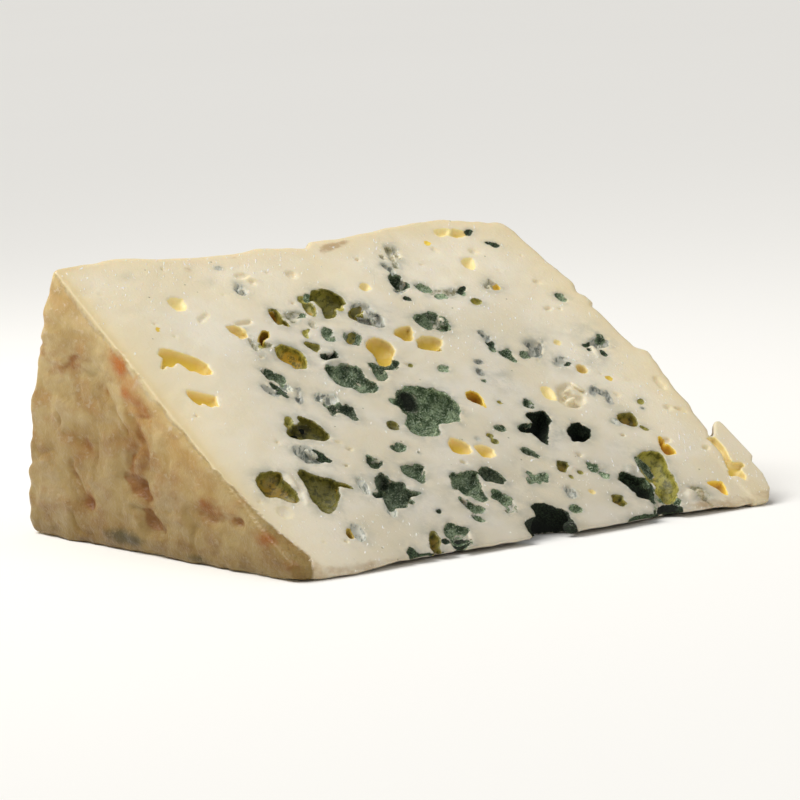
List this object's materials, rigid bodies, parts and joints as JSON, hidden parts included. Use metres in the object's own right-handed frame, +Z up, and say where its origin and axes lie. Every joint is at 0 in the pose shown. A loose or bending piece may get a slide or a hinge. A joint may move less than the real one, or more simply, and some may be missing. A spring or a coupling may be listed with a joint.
{
  "type": "blue cheese wedge",
  "caption": "Wedge of blue cheese lying on one cut: sloping cut face with mould-lined eyes, tan rinds at both ends and a curved rind at the back.",
  "frame": {"origin": "centre of the bounding box, on the base that the wedge lies on", "axes": "+X along the wheel's axis, from the shown flat rind to the hidden one; +Y from the thin edge to the curved rind; +Z up"},
  "size_m": [0.114, 0.0992, 0.053],
  "materials": {
    "cheese": "ivory paste, slightly moist, with grey-green and yellow eyes and a tan wrinkled rind"
  },
  "bodies": {
    "root": {"cheese_wedge": "cheese"}
  },
  "joints": []
}
